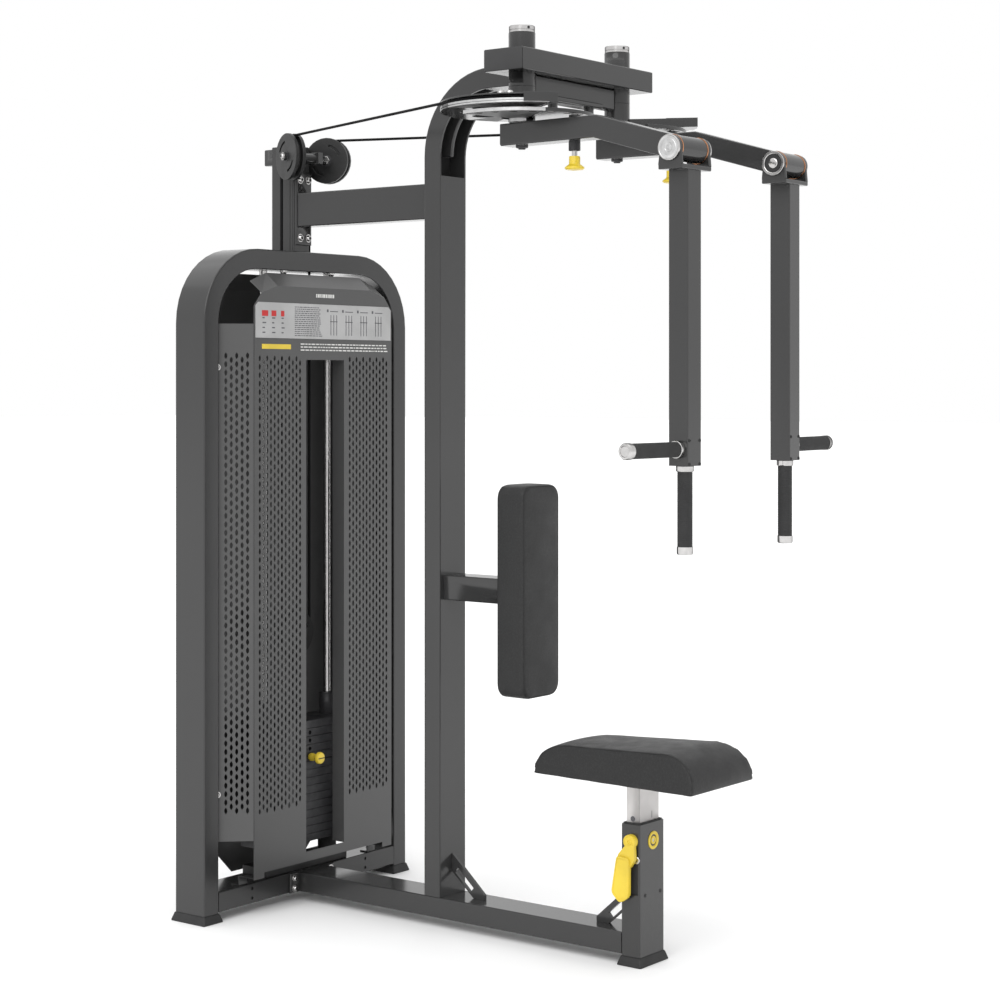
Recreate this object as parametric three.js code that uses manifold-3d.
// A pec deck (pec fly and rear delt) machine: a bent-tube weight tower, a mast with two pivoting
// arms, a chest pad and a height-adjustable seat. Millimetres, +Z up, the seat in front at -Y,
// the weight tower behind at +Y. Every sub-part is one closed solid in its own named mesh.
import * as THREE from 'three';
import { mergeVertices } from 'three/addons/utils/BufferGeometryUtils.js';
import Module from 'manifold-3d';

const wasm = await Module();
wasm.setup();

// ---- driving dimensions ----------------------------------------------------------------------
const GAP = 0.3; // clearance between pieces that touch
const WALL = 3; // wall of the frame tubes
const CENTRE_SHIFT = 22.15; // moves the measured datum so that the machine is centred on the origin

const FOOT_HEIGHT = 22;
const FOOT_FLARE = 9;
const BASE_BOTTOM = 24;
const BASE_TOP = 74;

const TOWER = { half: 379, tube: 50, front: 553, back: 653, top: 1649, bend: 188 };
const MAST = { half: 50, front: 86, back: 136, bend: 200, top: 2063 };
const CROSSBEAM = { half: 260, front: -321, back: -212, bottom: 2013, top: 2063 };
const PIVOT = { x: 190, y: -266, sleeve: 30.5, bore: 13.2, shaft: 12.5, bottom: 1983, top: 2104 };

const LINK = { tube: 50, bottom: 1851, top: 1901, back: 44, bend: -224, end: -449, yaw: 2.68 };
const JOINT = { z: 1811, barrel: 27.5, half: 44, washer: 2.8, ear: 8, axle: 12, cap: 28 };
const FOREARM = { tube: 50, bottom: 1139, top: 1766, base: 1776 };
const GRIP_HEIGHT = 1174; // axis of the horizontal grips

const CAM = {
  radius: 185, pitch: 177, groove: 172.9, bottom: 1926, top: 1947, from: 10, to: 241, anchor: 218,
};
const SELECTOR = { radius: 166, holes: 151, bottom: 1910, top: 1918, from: 165, to: 300 };
const CABLE = { radius: 3.3, height: 1940 };
const TOP_PULLEY = { x: 70, y: 556, pitch: 52, rim: 59, half: 14 };
const FLOATING_PULLEY = { z: 672, rim: 58, half: 9 };

const STACK = { half: 150, depth: 100, bottom: 142, pitch: 20.6, lower: 10, upper: 4 };
const ROD = { x: 120, radius: 10, bore: 10.7 };
const STEM = { radius: 11, bore: 12.2, bottom: 150, top: 595 };

const SHROUD = { half: 259, front: 502, back: 704, sheet: 2, bottom: 96, top: 1555 };
const SLOT = { half: 72, bottom: 134, top: 1373, depth: 38 };

const SEAT = { front: -680, back: -236, bottom: 418, top: 500, post: -466.5 };
const UPRIGHT = { front: -491.5, back: -441.5, top: 320 };
const PAD = { bottom: 574, top: 1077, front: -186, back: -102, half: 75 };

// ---- materials -------------------------------------------------------------------------------
const finish = (color, roughness, metalness) =>
  new THREE.MeshStandardMaterial({ color, roughness, metalness });
const PAINT = finish('#5c5d60', 0.35, 0.5);
const SHEET_PAINT = finish('#56575a', 0.45, 0.4);
const CHROME = finish('#d5d7da', 0.15, 1.0);
const RUBBER = finish('#26262a', 0.85, 0.0);
const LEATHER = finish('#37383a', 0.7, 0.0);
const CAST_IRON = finish('#3a3b3e', 0.6, 0.5);
const YELLOW = finish('#f2cf3a', 0.4, 0.0);
const NYLON = finish('#303134', 0.5, 0.0);
const ALUMINIUM = finish('#b9bbbe', 0.35, 0.9);
const STEEL_WIRE = finish('#1d1e20', 0.6, 0.3);

// ---- solids ----------------------------------------------------------------------------------
const radians = (degrees) => (degrees * Math.PI) / 180;
const SIDES = [['left', -1], ['right', 1]];

// A closed three.js geometry as a manifold solid: shared vertices merged, empty triangles dropped.
function solid(geometry) {
  geometry.deleteAttribute('normal');
  geometry.deleteAttribute('uv');
  const merged = mergeVertices(geometry, 1e-4);
  const index = merged.index.array;
  const triangles = [];
  for (let i = 0; i < index.length; i += 3) {
    const [a, b, c] = [index[i], index[i + 1], index[i + 2]];
    if (a !== b && b !== c && c !== a) triangles.push(a, b, c);
  }
  const vertProperties = new Float32Array(merged.attributes.position.array);
  const triVerts = new Uint32Array(triangles);
  return new wasm.Manifold(new wasm.Mesh({ numProp: 3, vertProperties, triVerts }));
}

const join = (...solids) => solids.reduce((whole, next) => whole.add(next));
const cut = (whole, ...tools) => tools.reduce((rest, tool) => rest.subtract(tool), whole);

function block(x0, x1, y0, y1, z0, z1) {
  const geometry = new THREE.BoxGeometry(x1 - x0, y1 - y0, z1 - z0);
  return solid(geometry.translate((x0 + x1) / 2, (y0 + y1) / 2, (z0 + z1) / 2));
}

// A cylinder between two points.
function cylinder(start, end, radius, sides = 24) {
  const a = new THREE.Vector3(...start);
  const b = new THREE.Vector3(...end);
  const along = b.clone().sub(a);
  const geometry = new THREE.CylinderGeometry(radius, radius, along.length(), sides);
  const up = new THREE.Vector3(0, 1, 0);
  const turn = new THREE.Quaternion().setFromUnitVectors(up, along.clone().normalize());
  geometry.applyQuaternion(turn);
  const middle = a.add(b).multiplyScalar(0.5);
  return solid(geometry.translate(middle.x, middle.y, middle.z));
}

const upright = (x, y, radius, z0, z1, sides) => cylinder([x, y, z0], [x, y, z1], radius, sides);

// The plane an outline is drawn in, and the axis it is pushed along.
const PLANES = {
  xy: new THREE.Matrix4(),
  xz: new THREE.Matrix4().makeBasis(
    new THREE.Vector3(1, 0, 0), new THREE.Vector3(0, 0, 1), new THREE.Vector3(0, -1, 0)),
  yz: new THREE.Matrix4().makeBasis(
    new THREE.Vector3(0, 1, 0), new THREE.Vector3(0, 0, 1), new THREE.Vector3(1, 0, 0)),
};

function prism(outline, plane, from, to, curveSegments = 8) {
  const shape = Array.isArray(outline)
    ? new THREE.Shape(outline.map(([u, v]) => new THREE.Vector2(u, v)))
    : outline;
  const depth = to - from;
  const geometry = new THREE.ExtrudeGeometry(shape, { depth, bevelEnabled: false, curveSegments });
  geometry.applyMatrix4(PLANES[plane]);
  const offset = { xy: [0, 0, from], xz: [0, to, 0], yz: [from, 0, 0] }[plane];
  return solid(geometry.translate(...offset));
}

// A solid turned about its own axis from a profile of [radius, height] points, bottom to top.
function turned(profile, sides = 32) {
  const points = profile.map(([radius, height]) => new THREE.Vector2(radius, height));
  return new THREE.LatheGeometry(points, sides);
}

function arc(cu, cv, radius, from, to, steps) {
  return Array.from({ length: steps + 1 }, (_, i) => {
    const angle = radians(from + ((to - from) * i) / steps);
    return [cu + radius * Math.cos(angle), cv + radius * Math.sin(angle)];
  });
}

function roundedRectangle(u0, u1, v0, v1, radius) {
  const shape = new THREE.Shape();
  shape.moveTo(u0 + radius, v0);
  shape.lineTo(u1 - radius, v0);
  shape.absarc(u1 - radius, v0 + radius, radius, -Math.PI / 2, 0);
  shape.lineTo(u1, v1 - radius);
  shape.absarc(u1 - radius, v1 - radius, radius, 0, Math.PI / 2);
  shape.lineTo(u0 + radius, v1);
  shape.absarc(u0 + radius, v1 - radius, radius, Math.PI / 2, Math.PI);
  shape.lineTo(u0, v0 + radius);
  shape.absarc(u0 + radius, v0 + radius, radius, Math.PI, 1.5 * Math.PI);
  return shape;
}

// ---- the scene graph -------------------------------------------------------------------------
const machine = new THREE.Group();
machine.position.y = CENTRE_SHIFT;

function place(name, shape, material, parent = machine) {
  let geometry = shape;
  if (!shape.isBufferGeometry) {
    const { vertProperties, triVerts } = shape.getMesh();
    geometry = new THREE.BufferGeometry();
    geometry.setAttribute('position', new THREE.BufferAttribute(new Float32Array(vertProperties), 3));
    geometry.setIndex(new THREE.BufferAttribute(new Uint32Array(triVerts), 1));
    geometry.computeVertexNormals();
  }
  const mesh = new THREE.Mesh(geometry, material);
  mesh.name = name;
  parent.add(mesh);
  return mesh;
}

// ---- weight tower ----------------------------------------------------------------------------
function archOutline(inset, bottom) {
  const { half, top, bend } = TOWER;
  const centre = [half - bend, top - bend];
  return [
    [half - inset, bottom],
    ...arc(centre[0], centre[1], bend - inset, 0, 90, 10),
    ...arc(-centre[0], centre[1], bend - inset, 90, 180, 10),
    [-half + inset, bottom],
  ];
}

function archBand(outer, inner, bottom) {
  return [...archOutline(outer, bottom), ...archOutline(inner, bottom).reverse()];
}

// The inverted-U tube, open at its two feet, with two holes in its top run for the cable drops.
function towerArch(dropX, dropY) {
  const { tube, front, back, top } = TOWER;
  const outer = prism(archBand(0, tube, FOOT_HEIGHT), 'xz', front, back);
  const hollow = archBand(WALL, tube - WALL, FOOT_HEIGHT - 5);
  const inner = prism(hollow, 'xz', front + WALL, back - WALL);
  const holes = [-1, 1].map((s) => upright(s * dropX, dropY, 9, top - tube - 5, top + 5));
  return cut(outer, inner, ...holes);
}

function crossTube() {
  const { half, tube, front, back } = TOWER;
  const end = half - tube - GAP;
  const outer = block(-end, end, front, back, BASE_BOTTOM, BASE_TOP);
  const inside = [front + WALL, back - WALL, BASE_BOTTOM + WALL, BASE_TOP - WALL];
  const inner = block(-end - 5, end + 5, ...inside);
  const boltHole = (x, z) => cylinder([x, front - 5, z], [x, front + 8, z], 4, 12);
  const holes = [-213, 213].flatMap((x) => [37, 61].map((z) => boltHole(x, z)));
  return cut(outer, inner, ...holes);
}

// A rubber foot that flares towards the floor under the end of a tube.
function foot(halfX, halfY, x, y) {
  const height = FOOT_HEIGHT - GAP;
  const geometry = new THREE.BoxGeometry(2, 2, height).translate(0, 0, height / 2);
  const position = geometry.attributes.position;
  for (let i = 0; i < position.count; i += 1) {
    const flare = position.getZ(i) > height / 2 ? 2 : FOOT_FLARE;
    position.setX(i, x + Math.sign(position.getX(i)) * (halfX + flare));
    position.setY(i, y + Math.sign(position.getY(i)) * (halfY + flare));
  }
  return solid(geometry);
}

function baseBeam() {
  const back = TOWER.front - GAP;
  const plateFront = back - 8;
  const front = UPRIGHT.back + GAP;
  const tube = block(-50, 50, front, plateFront + 4, BASE_BOTTOM, BASE_TOP);
  const hollow = block(-47, 47, front - 5, plateFront - 3, BASE_BOTTOM + WALL, BASE_TOP - WALL);
  return join(cut(tube, hollow), block(-82, 82, plateFront, back, BASE_BOTTOM, BASE_TOP));
}

// The post that stands on the arch, with the plate that the bridge beam is bolted to.
function towerPost() {
  const bottom = TOWER.top + GAP;
  const staves = [[583, 596.2], [597.9, 630.2], [631.9, 660]];
  return join(
    block(-26, 26, 586, 657, bottom, 1922),
    ...staves.map(([y0, y1]) => block(-29, 29, y0, y1, bottom, 1922)),
    block(-20, 20, 654, 697, 1876, 1918),
  );
}

function bridgeBeam() {
  const [bottom, top] = [1714, 1800];
  const tube = block(-25, 25, MAST.back + GAP, 577, bottom, top);
  const hollow = block(-22, 22, MAST.back - 5, 572, bottom + WALL, top - WALL);
  return join(cut(tube, hollow), block(-29, 29, 574.7, 583 - GAP, 1668, 1853));
}

// The folded sheet in front of the stack: slotted face, returns along the slot, slanted wings
// that bolt to the uprights, and a sloped hood.
function frontShroud() {
  const { half, front, sheet, bottom, top } = SHROUD;
  const corner = 84;
  const face = new THREE.Shape([
    [-half, bottom], [half, bottom], [half, top - 37], [half - corner, top],
    [-half + corner, top], [-half, top - 37],
  ].map(([u, v]) => new THREE.Vector2(u, v)));
  const rim = [
    [-SLOT.half, SLOT.bottom], [-SLOT.half, SLOT.top], [SLOT.half, SLOT.top], [SLOT.half, SLOT.bottom],
  ];
  face.holes.push(new THREE.Path(rim.map(([u, v]) => new THREE.Vector2(u, v))));
  const plate = prism(face, 'xz', front, front + sheet);
  const slotBack = front + SLOT.depth;
  const returns = [-1, 1].map((s) => {
    const [x0, x1] = s < 0 ? [-SLOT.half - sheet, -SLOT.half] : [SLOT.half, SLOT.half + sheet];
    return block(x0, x1, front + 1, slotBack, SLOT.bottom, SLOT.top);
  });
  const wings = [-1, 1].map((s) => shroudWing(s, front, 1, 193, 1460));
  const hood = [[front, top], [front + 40, top + 33], [front + 38.7, top + 34.6], [front, top + 2.6]];
  const hoodRoot = block(-half + corner, half - corner, front, front + sheet, top - 2, top + 2.6);
  const floor = block(-half, half, front + 1, front + 34, bottom, bottom + sheet);
  return join(plate, ...returns, ...wings, hoodRoot, floor,
    prism(hood, 'yz', -half + corner, half - corner));
}

// One slanted side wing, from the edge of a shroud's face to a flange on the upright.
function shroudWing(side, face, inward, z0, z1) {
  const flange = TOWER.half - TOWER.tube - GAP;
  const { half, sheet } = SHROUD;
  const outline = [
    [half - 4, face + inward * sheet * 0.9], [half + 1, face + inward * 3],
    [flange - sheet, face + inward * 72], [flange - sheet, face + inward * 98],
    [flange, face + inward * 98], [flange, face + inward * 71],
    [half + 3, face + inward * 1.2], [half - 1, face + inward * 0.1], [half - 4, face + inward * 0.1],
  ];
  return prism(outline.map(([u, v]) => [side * u, v]), 'xy', z0, z1);
}

// The closed sheet behind the stack, cut away at its lower corners, with the same wings and a hood.
function rearShroud() {
  const { half, back, sheet, top } = SHROUD;
  const bottom = 68;
  const face = [
    [-half + 125, bottom], [half - 125, bottom], [half, bottom + 125], [half, top - 37],
    [half - 84, top], [-half + 84, top], [-half, top - 37], [-half, bottom + 125],
  ];
  const wings = [-1, 1].map((s) => shroudWing(s, back, -1, 193, 1460));
  const hood = [[back, top], [back - 40, top + 36], [back - 41.3, top + 34.4], [back - 2, top - 1.8]];
  return join(prism(face, 'xz', back - sheet, back), ...wings,
    prism(hood, 'yz', -half + 84, half - 84));
}

// ---- weight stack ----------------------------------------------------------------------------
const dropAngle = cableAngle();
const DROP_X = TOP_PULLEY.x - TOP_PULLEY.pitch * Math.sin(dropAngle);
const STACK_Y = TOP_PULLEY.y + TOP_PULLEY.pitch * Math.cos(dropAngle);
const stackFront = STACK_Y - STACK.depth / 2;
const stackBack = STACK_Y + STACK.depth / 2;
const lowerTop = STACK.bottom + STACK.lower * STACK.pitch;
const topPlateBottom = lowerTop + STACK.upper * STACK.pitch;
const topPlateTop = topPlateBottom + STACK.pitch;
const pinHeight = lowerTop + STACK.pitch / 2;

// The angle between the cable's top run and the machine's length: the run leaves the top pulley
// in the pulley's own plane and meets the outer side of the cam's groove.
function cableAngle() {
  const across = PIVOT.x - TOP_PULLEY.x;
  const along = TOP_PULLEY.y - PIVOT.y;
  const distance = Math.hypot(across, along);
  return Math.atan2(across, along) + Math.asin(CAM.pitch / distance);
}

function rodHoles(radius, z0, z1) {
  return [-1, 1].map((s) => upright(s * ROD.x, STACK_Y, radius, z0, z1));
}

function plateBlank(z0, z1) {
  const blank = block(-STACK.half, STACK.half, stackFront, stackBack, z0, z1);
  return cut(blank, ...rodHoles(ROD.bore, z0 - 5, z1 + 5), upright(0, STACK_Y, STEM.bore, z0 - 5, z1 + 5));
}

// The plates that stay down, joined at their faces, with a groove where two of them meet.
function lowerPlates() {
  const groove = 2;
  const core = block(-STACK.half + groove, STACK.half - groove, stackFront + groove,
    stackBack - groove, STACK.bottom + 1, lowerTop - 1);
  const plates = Array.from({ length: STACK.lower }, (_, i) => {
    const bottom = STACK.bottom + i * STACK.pitch;
    return block(-STACK.half, STACK.half, stackFront, stackBack, bottom, bottom + STACK.pitch - groove);
  });
  const tools = [STACK.bottom - 5, lowerTop + 5];
  return cut(join(core, ...plates), ...rodHoles(ROD.bore, ...tools),
    upright(0, STACK_Y, STEM.bore, ...tools));
}

function weightPlate(index) {
  const bottom = topPlateBottom - index * STACK.pitch;
  const plate = plateBlank(bottom, bottom + STACK.pitch - GAP);
  const holeHeight = bottom + STACK.pitch / 2;
  return cut(plate, cylinder([0, stackFront - 5, holeHeight], [0, STACK_Y, holeHeight], 5.4, 12));
}

// The top plate, cast with the two bushes that run on the guide rods.
function topPlate() {
  const bushTop = topPlateTop + 57;
  const bushes = rodHoles(20, topPlateTop - 1, bushTop);
  const bores = rodHoles(ROD.bore, topPlateBottom - 5, bushTop + 5);
  return cut(join(plateBlank(topPlateBottom, topPlateTop), ...bushes), ...bores);
}

function selectorStem() {
  const stem = upright(0, STACK_Y, STEM.radius, STEM.bottom, STEM.top - GAP);
  const hole = cylinder([0, STACK_Y - 20, pinHeight], [0, STACK_Y + 20, pinHeight], 5.4, 12);
  return cut(stem, hole);
}

function selectorPin() {
  const at = (y) => [0, y, pinHeight];
  return join(
    cylinder(at(stackFront - 8), at(STACK_Y + 6), 4.6, 12),
    cylinder(at(stackFront - 26), at(stackFront - 1.5), 9),
    cylinder(at(stackFront - 40), at(stackFront - 24), 15),
  );
}

// The U-shaped yoke on the stem's top that straddles the floating pulley, with its axle bolt.
function pulleyYoke() {
  const { z, half } = FLOATING_PULLEY;
  const inner = half + 3;
  const outer = inner + 5;
  const web = block(-16, 16, STACK_Y - outer, STACK_Y + outer, STEM.top, STEM.top + 10);
  const cheeks = [-1, 1].map((s) => {
    const [y0, y1] = s < 0 ? [STACK_Y - outer, STACK_Y - inner] : [STACK_Y + inner, STACK_Y + outer];
    return block(-16, 16, y0, y1, STEM.top, z + 18);
  });
  const bolt = cylinder([0, STACK_Y - outer - 7, z], [0, STACK_Y + outer + 7, z], 8);
  return join(web, ...cheeks, bolt);
}

// A bracket under the stack: the bar that the guide rods stand on, with two rubber-topped buffers.
function stackBase() {
  const bar = block(-STACK.half, STACK.half, 562, 648, BASE_TOP + GAP, 96);
  const buffers = rodHoles(24, 95, STACK.bottom - GAP);
  return cut(join(bar, ...buffers), ...rodHoles(ROD.bore, 88, STACK.bottom + 5));
}

// A grooved sheave about its own Y axis.
function sheave(rim, half, pitch, bore, slotRadius) {
  const groove = pitch - CABLE.radius - 0.8;
  const flank = CABLE.radius + 0.8;
  const profile = [
    [bore, -half], [rim, -half], [rim, -flank - 1.5], [groove, -flank], [groove, flank],
    [rim, flank + 1.5], [rim, half], [bore, half], [bore, -half],
  ];
  const body = solid(turned(profile, 28));
  const slots = [20, 200].map((start) => {
    const outer = arc(0, 0, slotRadius + 3, start, start + 60, 4);
    const inner = arc(0, 0, slotRadius - 3, start + 60, start, 4);
    return [-half, half].map((face) => prism([...outer, ...inner], 'xz', face - 4, face + 4));
  });
  return cut(body, ...slots.flat());
}

// ---- cable -----------------------------------------------------------------------------------
// The middle of the cable where it leaves the top pulley's groove, at an angle round the sheave:
// 0 is at the back, where the drop begins, and 90 on top, where the run to the cam begins.
function onTopPulley(side, degrees) {
  const { x, y, pitch } = TOP_PULLEY;
  const reach = pitch * Math.cos(radians(degrees));
  return [
    side * (x - reach * Math.sin(dropAngle)),
    y + reach * Math.cos(dropAngle),
    CABLE.height - pitch + pitch * Math.sin(radians(degrees)),
  ];
}

// A point on the pitch circle of a cam, at a polar angle counted from the inner side of the
// machine, rising towards the back.
function onCam(side, degrees, radius = CAM.pitch) {
  const angle = radians(degrees);
  return [side * (PIVOT.x - radius * Math.cos(angle)), PIVOT.y + radius * Math.sin(angle)];
}

const tangent = 180 - (dropAngle * 180) / Math.PI;

function straightCable(start, end) {
  return cylinder(start, end, CABLE.radius, 8);
}

function bentCable(points) {
  const ring = new THREE.Shape();
  ring.absarc(0, 0, CABLE.radius, 0, 2 * Math.PI);
  const extrudePath = new THREE.CatmullRomCurve3(points.map((p) => new THREE.Vector3(...p)));
  const steps = points.length - 1;
  return solid(new THREE.ExtrudeGeometry(ring, { extrudePath, steps, curveSegments: 8 }));
}

// From the cam, level to the top pulley and a quarter turn over it.
function cableRun(side) {
  const quarter = Array.from({ length: 9 }, (_, i) => onTopPulley(side, 90 - (i * 90) / 8));
  const start = [...onCam(side, tangent), CABLE.height];
  const top = new THREE.Vector3(...quarter[0]);
  const along = top.clone().sub(new THREE.Vector3(...start)).normalize();
  const end = top.add(along.multiplyScalar(0.3)).toArray();
  return join(straightCable(start, end), bentCable(quarter));
}

function cableDrop(side) {
  const top = CABLE.height - TOP_PULLEY.pitch - GAP;
  const bottom = FLOATING_PULLEY.z + 1.4 * GAP;
  return straightCable([side * DROP_X, STACK_Y, bottom], [side * DROP_X, STACK_Y, top]);
}

// The turn of cable under the floating pulley.
function cableBight() {
  const turn = arc(0, FLOATING_PULLEY.z, DROP_X, 180, 360, 14);
  return bentCable(turn.map(([x, z]) => [x, STACK_Y, z]));
}

function cableWrap(side) {
  const sweep = CAM.anchor - tangent - 0.3;
  const points = Array.from({ length: 11 }, (_, i) => [
    ...onCam(side, tangent + 0.15 + (sweep * i) / 10), CABLE.height,
  ]);
  return bentCable(points);
}

// The block in front of the post that carries both top pulleys on one angled stub axle each.
function pulleyBracket() {
  const { x, y, pitch, half } = TOP_PULLEY;
  const z = CABLE.height - pitch;
  const meet = y - x * Math.tan(dropAngle);
  const body = block(-9, 9, meet - 12, 583 - GAP, z - 14, z + 14);
  const axles = SIDES.map(([, side]) => {
    const outward = (distance) => [
      side * (x + distance * Math.cos(dropAngle)), y + distance * Math.sin(dropAngle), z,
    ];
    return join(
      cylinder(outward(-x / Math.cos(dropAngle)), outward(half + 7), 8),
      cylinder(outward(-x / Math.cos(dropAngle)), outward(-half - 0.6), 9.5),
      cylinder(outward(half + 0.6), outward(half + 8), 10.5),
    );
  });
  return join(body, ...axles);
}

function topPulley(side) {
  const { x, y, pitch, rim, half } = TOP_PULLEY;
  const turn = new THREE.Matrix4().makeRotationZ(-side * (Math.PI / 2 - dropAngle));
  turn.setPosition(side * x, y, CABLE.height - pitch);
  return sheave(rim, half, pitch, 8.4, 38).transform(turn.elements);
}

function floatingPulley() {
  const { z, rim, half } = FLOATING_PULLEY;
  return sheave(rim, half, DROP_X, 8.4, 36).translate([0, STACK_Y, z]);
}

// ---- mast and pivot head ---------------------------------------------------------------------
// The outline of the mast in the machine's length: straight up, then a quarter bend to the front.
function mastOutline(inset, foot, nose) {
  const { front, back, bend, top } = MAST;
  const centre = [back - bend, top - bend];
  const inner = bend - (back - front);
  return [
    [back - inset, foot],
    ...arc(centre[0], centre[1], bend - inset, 0, 90, 14),
    [nose, top - inset],
    [nose, top - (back - front) + inset],
    ...arc(centre[0], centre[1], inner + inset, 90, 0, 14),
    [front + inset, foot],
  ];
}

// The bent mast. The inside of its bend is open, with one rib down the middle.
function mast() {
  const { half, front, back, bend, top } = MAST;
  const nose = CROSSBEAM.back + GAP;
  const outer = prism(mastOutline(0, BASE_TOP + GAP, nose), 'yz', -half, half);
  const inner = prism(mastOutline(WALL, BASE_TOP - 5, nose - 5), 'yz', -half + WALL, half - WALL);
  const centre = [back - bend, top - bend];
  const innerBend = bend - (back - front);
  const band = (from, to, a, b) => [
    ...arc(...centre, to, a, b, 12), ...arc(...centre, from, b, a, 12),
  ];
  const window = join(
    prism(band(innerBend - 6, innerBend + 6, -0.5, 84), 'yz', -half + 5, half - 5),
    block(-half + 5, half - 5, front - 6, front + 6, centre[1] - 48, centre[1] + 1),
  );
  const rib = prism(band(innerBend + 1, bend - 1, 0, 88), 'yz', -6, 6);
  return join(cut(outer, inner, window), rib);
}

// A diagonal strut plate with one long slot, in the machine's middle plane, between the foot of
// an upright and the base beam. Dir is -1 when the strut runs to the front and 1 to the back.
function gusset(face, dir) {
  const at = (along, height) => [face + dir * along, height];
  const shape = new THREE.Shape([
    at(GAP, 131), at(GAP, 175), at(100, 86), at(100, BASE_TOP + GAP), at(66, BASE_TOP + GAP),
  ].map(([u, v]) => new THREE.Vector2(u, v)));
  const blank = prism(shape, 'yz', -4, 4);
  const slot = [at(9, 130.5), at(19, 141.5), at(67, 98.5), at(57, 87.5)];
  return cut(blank, prism(slot, 'yz', -10, 10));
}

// The crossbeam with the two pivot sleeves welded through it.
function crossbeam() {
  const { half, front, back, bottom, top } = CROSSBEAM;
  const wall = 4;
  const tubeWalls = cut(
    block(-half, half, front, back, bottom, top),
    block(-half - 5, half + 5, front + wall, back - wall, bottom + wall, top - wall),
  );
  const sleeves = SIDES.map(([, s]) => upright(s * PIVOT.x, PIVOT.y, PIVOT.sleeve, PIVOT.bottom, PIVOT.top, 32));
  const bores = SIDES.map(([, s]) => upright(s * PIVOT.x, PIVOT.y, PIVOT.bore, PIVOT.bottom - 5, PIVOT.top + 5));
  return cut(join(tubeWalls, ...sleeves), ...bores);
}

// The tie between the sleeves, with the plate and the two posts that stop the cams.
function stopBar() {
  const end = PIVOT.x - PIVOT.sleeve - 1;
  const bar = block(-end, end, PIVOT.y - 15, PIVOT.y + 15, 1964, CROSSBEAM.bottom - GAP);
  const plate = block(-92, 92, PIVOT.y - 26, PIVOT.y + 26, 1960, 1972);
  const posts = SIDES.map(([, s]) => upright(s * 72, PIVOT.y, 11.5, 1927, 1962));
  return join(bar, plate, ...posts);
}

// ---- cams ------------------------------------------------------------------------------------
function sector(side, radius, from, to, steps) {
  return [[side * PIVOT.x, PIVOT.y], ...Array.from({ length: steps + 1 }, (_, i) =>
    onCam(side, from + ((to - from) * i) / steps, radius))];
}

// A cable cam: a two-groove sector rim on a hub, with the plate below it whose ring of holes the
// pop-pin locks into.
function cam(side) {
  const { radius, groove, bottom, top, from, to, anchor } = CAM;
  const layer = (r, z0, z1) => prism(sector(side, r, from, to, 24), 'xy', z0, z1);
  const rim = join(
    layer(radius, bottom, bottom + 4), layer(radius - 5, bottom + 3, bottom + 6),
    layer(radius, bottom + 5, CABLE.height - 3.8), layer(groove, CABLE.height - 5, top - 1),
    layer(radius, CABLE.height + 3.8, top),
  );
  const at = (degrees, r) => onCam(side, degrees, r);
  const holes = [48, 88, 128, 168, 208].map((a) => upright(...at(a, 112), 27, bottom - 5, top + 5, 20));
  const [inner, outer] = [118, 193];
  const anchorBlock = prism([
    at(anchor, inner), at(anchor, outer), at((anchor + to) / 2, outer), at(to, outer), at(to, inner),
  ], 'xy', bottom, top + 1);
  const plate = prism(sector(side, SELECTOR.radius, SELECTOR.from, SELECTOR.to, 14), 'xy',
    SELECTOR.bottom, SELECTOR.top);
  const locks = Array.from({ length: 8 }, (_, i) =>
    upright(...at(SELECTOR.from + 13 + i * 16, SELECTOR.holes), 6.8, SELECTOR.bottom - 5, SELECTOR.top + 5, 12));
  const hub = upright(side * PIVOT.x, PIVOT.y, PIVOT.sleeve, 1903, PIVOT.bottom - GAP, 32);
  const bore = upright(side * PIVOT.x, PIVOT.y, PIVOT.bore, 1890, PIVOT.bottom + 5);
  return cut(join(cut(rim, ...holes), anchorBlock, cut(plate, ...locks), hub), bore);
}

// ---- arms ------------------------------------------------------------------------------------
// Everything in an arm is drawn with the pivot's axis at x = 0, y = 0 and the arm along -Y.
function link() {
  const { tube: size, bottom, top, back, bend, end } = LINK;
  const half = size / 2;
  const middle = (bottom + top) / 2;
  const drop = Math.atan2(middle - JOINT.z, bend - end);
  const mitre = half * Math.tan(drop / 2);
  const [sin, cos] = [Math.sin(drop), Math.cos(drop)];
  const profile = (inset, rear, nose) => {
    const h = half - inset;
    const m = mitre * (h / half);
    return [
      [rear, middle - h], [rear, middle + h], [bend - m, middle + h],
      [nose - h * sin, JOINT.z + h * cos], [nose + h * sin, JOINT.z - h * cos], [bend + m, middle - h],
    ];
  };
  const outer = prism(profile(0, back, end), 'yz', -half, half);
  const inner = prism(profile(WALL, back + 5, end), 'yz', -half + WALL, half - WALL);
  const barrel = cylinder([-JOINT.half, end, JOINT.z], [JOINT.half, end, JOINT.z], JOINT.barrel, 32);
  const sleeve = join(upright(0, -SELECTOR.holes, 12.5, bottom - 22, bottom + 4),
    upright(0, -SELECTOR.holes, 12.5, top - 4, top + 7));
  const bores = [
    upright(0, 0, PIVOT.bore, bottom - 5, top + 5),
    upright(0, -SELECTOR.holes, 6.8, bottom - 30, top + 10),
    cylinder([-JOINT.half - 5, end, JOINT.z], [JOINT.half + 5, end, JOINT.z], JOINT.axle + 0.4),
  ];
  return cut(join(cut(outer, inner), sleeve, barrel), ...bores);
}

// The pivot shaft: a bolt head under the link, the shaft through cam and sleeve, a collar on top.
function pivotShaft() {
  const collar = PIVOT.top + GAP;
  return join(
    upright(0, 0, 14, LINK.bottom - 9, LINK.bottom - GAP),
    upright(0, 0, PIVOT.shaft, LINK.bottom - 5, collar + 5),
    upright(0, 0, 29.5, collar, collar + 16, 32),
  );
}

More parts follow.
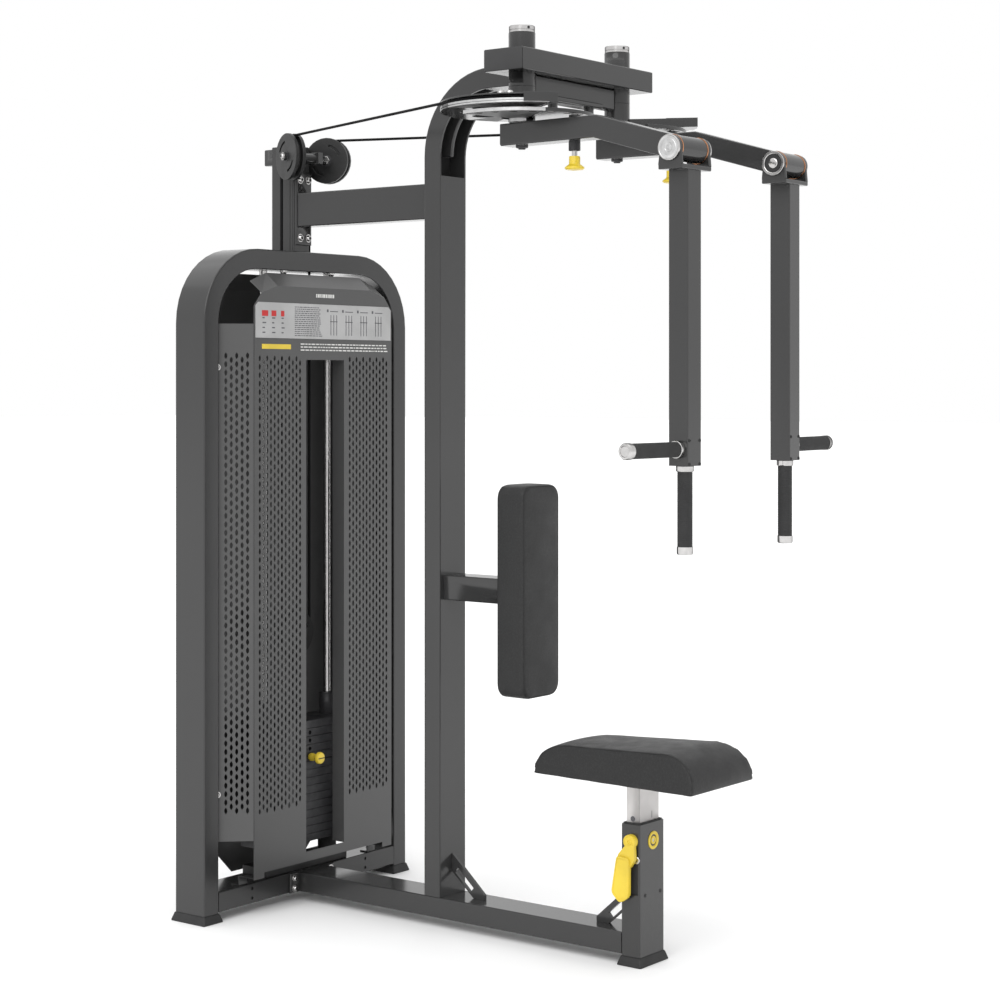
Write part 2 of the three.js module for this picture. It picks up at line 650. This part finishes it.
function jointAxle() {
  const { z, half, washer, ear, axle, cap } = JOINT;
  const outside = half + washer + ear + 0.8;
  const along = (x) => [x, LINK.end, z];
  const caps = [-1, 1].map((s) => cylinder(along(s * outside), along(s * (outside + 5)), cap, 32));
  return join(cylinder(along(-outside - 2), along(outside + 2), axle), ...caps);
}

// The hanging arm: a square tube under a U-shaped bracket that holds the joint's axle.
function forearm() {
  const { tube: size, bottom, top, base } = FOREARM;
  const { z, half: barrelHalf, washer, ear, axle, cap } = JOINT;
  const half = size / 2;
  const y = LINK.end;
  const walls = cut(
    block(-half, half, y - half, y + half, bottom, top + 2),
    block(-half + WALL, half - WALL, y - half + WALL, y + half - WALL, bottom - 5, top + 2),
  );
  const outside = barrelHalf + washer + ear;
  const plate = block(-outside, outside, y - 31, y + 31, top, base);
  const earOutline = [[y - 31, top + 4], ...arc(y, z, cap, 190, -10, 14), [y + 31, top + 4]];
  const ears = [-1, 1].map((s) => {
    const [x0, x1] = [barrelHalf + washer, barrelHalf + washer + ear];
    return s < 0 ? prism(earOutline, 'yz', -x1, -x0) : prism(earOutline, 'yz', x0, x1);
  });
  const bore = cylinder([-90, y, z], [90, y, z], axle + 0.4);
  return cut(join(walls, plate, ...ears), bore);
}

// A rubber hand grip between a chrome ring and a chrome end cap, along +Y from its root.
function grip(rubberLength) {
  const ring = 12;
  const profile = [
    [0, 0], [19, 0], [19, ring], [16.5, ring], [16.5, ring + rubberLength],
    [17.5, ring + rubberLength], [17.5, ring + rubberLength + 17], [0, ring + rubberLength + 17],
  ];
  return turned(profile, 20);
}

function verticalGrip() {
  const drop = grip(160).rotateX(-Math.PI / 2);
  return solid(drop.translate(0, LINK.end, FOREARM.bottom - GAP));
}

function horizontalGrip(side) {
  const out = grip(160).rotateZ((-side * Math.PI) / 2);
  return solid(out.translate(side * (FOREARM.tube / 2 + GAP), LINK.end, GRIP_HEIGHT));
}

// The pop-pin: a shank up through the link and a mushroom knob below it.
function popPin() {
  const knobTop = LINK.bottom - 23;
  const profile = [
    [0, knobTop - 42], [12, knobTop - 42], [22, knobTop - 39], [22, knobTop - 35],
    [12.5, knobTop - 28], [12.5, knobTop - 11], [6, knobTop - 10],
    [6, SELECTOR.bottom - 0.5], [0, SELECTOR.bottom - 0.5],
  ];
  const geometry = turned(profile, 20).rotateX(Math.PI / 2);
  return solid(geometry.translate(0, -SELECTOR.holes, 0));
}

// ---- pad, seat -------------------------------------------------------------------------------
function padArm() {
  const plate = block(-50, 50, PAD.back + GAP, PAD.back + 8, 751, 891);
  const tubeWalls = cut(
    block(-35, 35, PAD.back + 4, MAST.front - GAP, 791, 851),
    block(-32, 32, PAD.back + 8, MAST.front + 5, 794, 848),
  );
  return join(plate, tubeWalls);
}

// A cushion body: an outline with rounded edges, thick along one axis.
function cushion(shape, plane, from, to, round) {
  const depth = to - from - 2 * round;
  const settings = {
    depth, bevelEnabled: true, bevelThickness: round, bevelSize: round, bevelOffset: -round,
    bevelSegments: 3, curveSegments: 5,
  };
  const geometry = new THREE.ExtrudeGeometry(shape, settings);
  geometry.applyMatrix4(PLANES[plane]);
  const offset = { xy: [0, 0, from + round], xz: [0, to - round, 0] }[plane];
  return solid(geometry.translate(...offset));
}

function chestPad() {
  const { half, bottom, top, front, back } = PAD;
  return cushion(roundedRectangle(-half, half, bottom, top, 32), 'xz', front, back, 14);
}

function seatPad() {
  const { front, back, bottom, top } = SEAT;
  const shape = new THREE.Shape();
  shape.moveTo(-95, front + 6);
  shape.quadraticCurveTo(0, front - 6, 95, front + 6);
  shape.quadraticCurveTo(135, front + 10, 133, front + 50);
  shape.lineTo(107, back - 45);
  shape.quadraticCurveTo(104, back - 6, 70, back - 3);
  shape.quadraticCurveTo(0, back + 3, -70, back - 3);
  shape.quadraticCurveTo(-104, back - 6, -107, back - 45);
  shape.lineTo(-133, front + 50);
  shape.quadraticCurveTo(-135, front + 10, -95, front + 6);
  return cushion(shape, 'xy', bottom, top, 22);
}

function seatUpright() {
  const { front, back, top } = UPRIGHT;
  const outer = block(-50, 50, front, back, FOOT_HEIGHT, top);
  const inner = block(-47, 47, front + WALL, back - WALL, FOOT_HEIGHT - 5, top + 5);
  const window = block(-55, -45, front + 5, back - 7, 162, 266);
  return cut(outer, inner, window);
}

function seatPost() {
  const { post, bottom } = SEAT;
  const tubeWalls = cut(
    block(-40, 40, post - 18, post + 18, 85, bottom - 4),
    block(-37, 37, post - 15, post + 15, 80, bottom - 4),
  );
  return join(tubeWalls, block(-70, 70, post - 110, post + 110, bottom - 7, bottom - GAP));
}

// The seat's release lever on the side of the upright: boss, neck and a broad hanging handle.
function seatLever() {
  const [pivotY, pivotZ] = [-471, 283];
  const boss = cylinder([-64, pivotY, pivotZ], [-50 - GAP, pivotY, pivotZ], 17);
  const neck = [
    [pivotY - 14, pivotZ - 6], [pivotY + 10, pivotZ - 10], [pivotY + 32, pivotZ - 34],
    [pivotY + 33, pivotZ - 60], [pivotY - 3, pivotZ - 60], [pivotY - 17, pivotZ - 44],
  ];
  const handle = [
    [pivotY - 4, pivotZ - 38], [pivotY + 28, pivotZ - 34], [pivotY + 34, pivotZ - 42],
    [pivotY + 45, pivotZ - 118], [pivotY + 38, pivotZ - 133], [pivotY + 21, pivotZ - 140],
    [pivotY + 4, pivotZ - 135], [pivotY - 3, pivotZ - 122],
  ];
  return join(boss, prism(neck, 'yz', -64, -54), prism(handle, 'yz', -70, -60));
}

// ---- assembly --------------------------------------------------------------------------------
place('tower_arch', towerArch(DROP_X, STACK_Y), PAINT);
place('base_cross_tube', crossTube(), PAINT);
place('base_beam', baseBeam(), PAINT);
place('tower_post', towerPost(), PAINT);
place('bridge_beam', bridgeBeam(), PAINT);
place('mast', mast(), PAINT);
place('mast_gusset', gusset(MAST.front, -1), PAINT);
place('crossbeam', crossbeam(), PAINT);
place('stop_bar', stopBar(), PAINT);
place('front_shroud', frontShroud(), SHEET_PAINT);
place('rear_shroud', rearShroud(), SHEET_PAINT);
place('foot_seat', foot(50, 25, 0, (UPRIGHT.front + UPRIGHT.back) / 2), RUBBER);

place('stack_base', stackBase(), RUBBER);
place('weight_plates_lower', lowerPlates(), CAST_IRON);
for (let i = 1; i <= STACK.upper; i += 1) place(`weight_plate_${i}`, weightPlate(i), CAST_IRON);
place('top_plate', topPlate(), CAST_IRON);
place('selector_stem', selectorStem(), CHROME);
place('selector_pin', selectorPin(), YELLOW);
place('pulley_yoke', pulleyYoke(), PAINT);
place('floating_pulley', floatingPulley(), NYLON);
place('cable_bight', cableBight(), STEEL_WIRE);
place('pulley_bracket', pulleyBracket(), PAINT);

place('pad_arm', padArm(), PAINT);
place('chest_pad', chestPad(), LEATHER);
place('seat_upright', seatUpright(), PAINT);
place('seat_gusset', gusset(UPRIGHT.back, 1), PAINT);
place('seat_post', seatPost(), CHROME);
place('seat_pad', seatPad(), LEATHER);
place('seat_lever', seatLever(), YELLOW);

for (const [name, side] of SIDES) {
  const legX = side * (TOWER.half - TOWER.tube / 2);
  place(`foot_${name}`, foot(25, 50, legX, (TOWER.front + TOWER.back) / 2), RUBBER);
  const rod = upright(side * ROD.x, STACK_Y, ROD.radius, 88.3, TOWER.top - TOWER.tube - GAP, 20);
  place(`guide_rod_${name}`, rod, CHROME);
  place(`cable_${name}_run`, cableRun(side), STEEL_WIRE);
  place(`cable_${name}_drop`, cableDrop(side), STEEL_WIRE);
  place(`cable_${name}_wrap`, cableWrap(side), STEEL_WIRE);
  place(`top_pulley_${name}`, topPulley(side), NYLON);
  place(`cam_${name}`, cam(side), ALUMINIUM);

  const arm = new THREE.Group();
  arm.position.set(side * PIVOT.x, PIVOT.y, 0);
  arm.rotation.z = side * radians(LINK.yaw);
  machine.add(arm);
  place(`link_${name}`, link(), PAINT, arm);
  place(`pivot_shaft_${name}`, pivotShaft(), CHROME, arm);
  place(`joint_axle_${name}`, jointAxle(), CHROME, arm);
  place(`pop_pin_${name}`, popPin(), YELLOW, arm);
  place(`forearm_${name}`, forearm(), PAINT, arm);
  place(`vertical_grip_${name}`, verticalGrip(), RUBBER, arm);
  place(`horizontal_grip_${name}`, horizontalGrip(side), RUBBER, arm);
}

export default machine;
